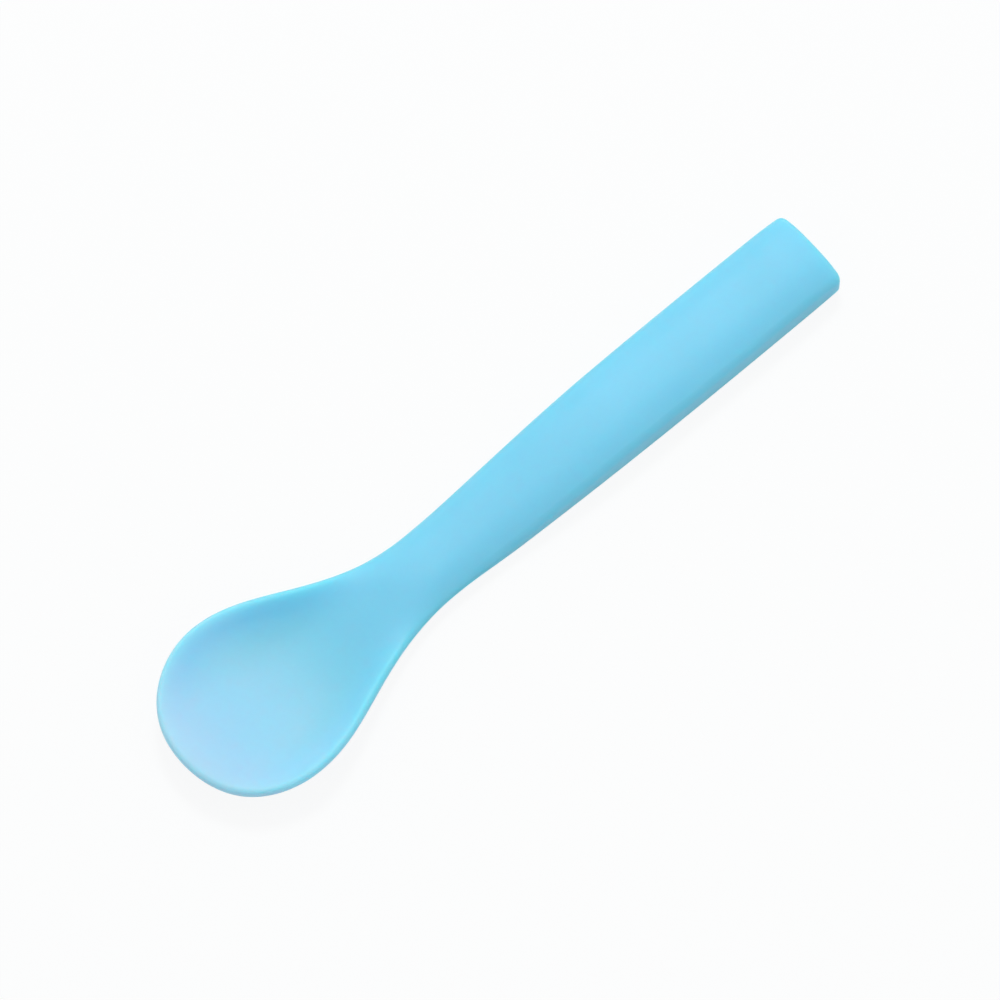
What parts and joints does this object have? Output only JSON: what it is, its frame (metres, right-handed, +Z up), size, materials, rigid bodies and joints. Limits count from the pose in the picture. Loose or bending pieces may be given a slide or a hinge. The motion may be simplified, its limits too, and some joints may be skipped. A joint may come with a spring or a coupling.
{
  "type": "baby feeding spoon",
  "caption": "Slim baby feeding spoon: a soft matte blue silicone skin with a shallow round bowl, moulded over a stiff windowed core in its handle.",
  "frame": {"origin": "on the table, under the middle of the spoon's overall box", "axes": "+X runs from the bowl to the handle's end, +Z is up out of the open bowl, and +Y is across"},
  "size_m": [0.13, 0.0306, 0.0078],
  "materials": {
    "silicone": "matte, slightly translucent moulded silicone",
    "core_plastic": "natural moulded nylon"
  },
  "bodies": {
    "root": {"silicone_body": "silicone", "core": "core_plastic"}
  },
  "joints": []
}
